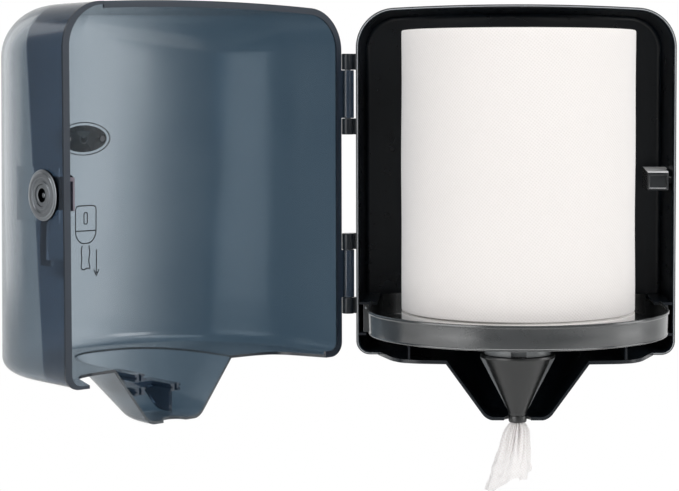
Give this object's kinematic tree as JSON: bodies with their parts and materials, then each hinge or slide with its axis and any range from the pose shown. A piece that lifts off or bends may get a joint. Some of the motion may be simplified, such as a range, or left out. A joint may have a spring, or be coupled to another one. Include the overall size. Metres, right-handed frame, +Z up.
{
  "type": "centrefeed roll dispenser",
  "caption": "Wall dispenser for centrefeed paper: black housing with tray, funnel and white roll, and a translucent smoke door with a key lock, swung open.",
  "frame": {"origin": "on the wall plane at the back of the housing, midway across it and about half way up the box", "axes": "+Y into the wall, +Z up, +X to the right seen from the front, so the front faces -Y"},
  "size_m": [0.5589, 0.2756, 0.4036],
  "materials": {
    "black_plastic": "satin black moulded ABS",
    "smoke_plastic": "translucent smoke blue moulded plastic, polished",
    "grey_plastic": "satin dark grey moulded plastic",
    "dark_plastic": "satin charcoal moulded plastic",
    "cast_metal": "satin grey die casting",
    "steel": "plain drawn steel",
    "paper": "white embossed tissue"
  },
  "bodies": {
    "housing": {"back_housing": "black_plastic", "latch_catch": "dark_plastic", "hinge_pin_upper": "steel", "hinge_pin_lower": "steel", "tray": "grey_plastic", "tray_stud_left": "steel", "tray_stud_right": "steel", "paper_roll": "paper", "paper_tail": "paper"},
    "funnel": {"funnel": "dark_plastic", "funnel_collar": "grey_plastic", "nozzle_tip": "dark_plastic"},
    "door": {"door_shell": "smoke_plastic", "badge_plate": "dark_plastic", "badge_pin_left": "steel", "badge_pin_right": "steel", "lock_plate": "cast_metal", "lock_bracket": "steel", "bracket_screw_1": "steel", "bracket_screw_2": "steel", "spout_yoke": "dark_plastic"},
    "lock": {"lock_barrel": "cast_metal", "latch_hook": "steel", "barrel_clip": "steel"}
  },
  "joints": [
    {"name": "door_hinge", "type": "hinge", "parent": "housing", "child": "door", "pos_m": [-0.1432, -0.078, 0], "axis": [0, 0, 1], "range_deg": [0, 135.6]},
    {"name": "key_turn", "type": "hinge", "parent": "door", "child": "lock", "pos_m": [-0.36612, -0.24941, -0.0027], "axis": [-0.7145, -0.6997, 0], "range_deg": [0, 90]},
    {"name": "funnel_turn", "type": "hinge", "parent": "housing", "child": "funnel", "pos_m": [0, -0.132, -0.165], "axis": [0, 0, 1], "range_deg": [-30, 0]}
  ]
}
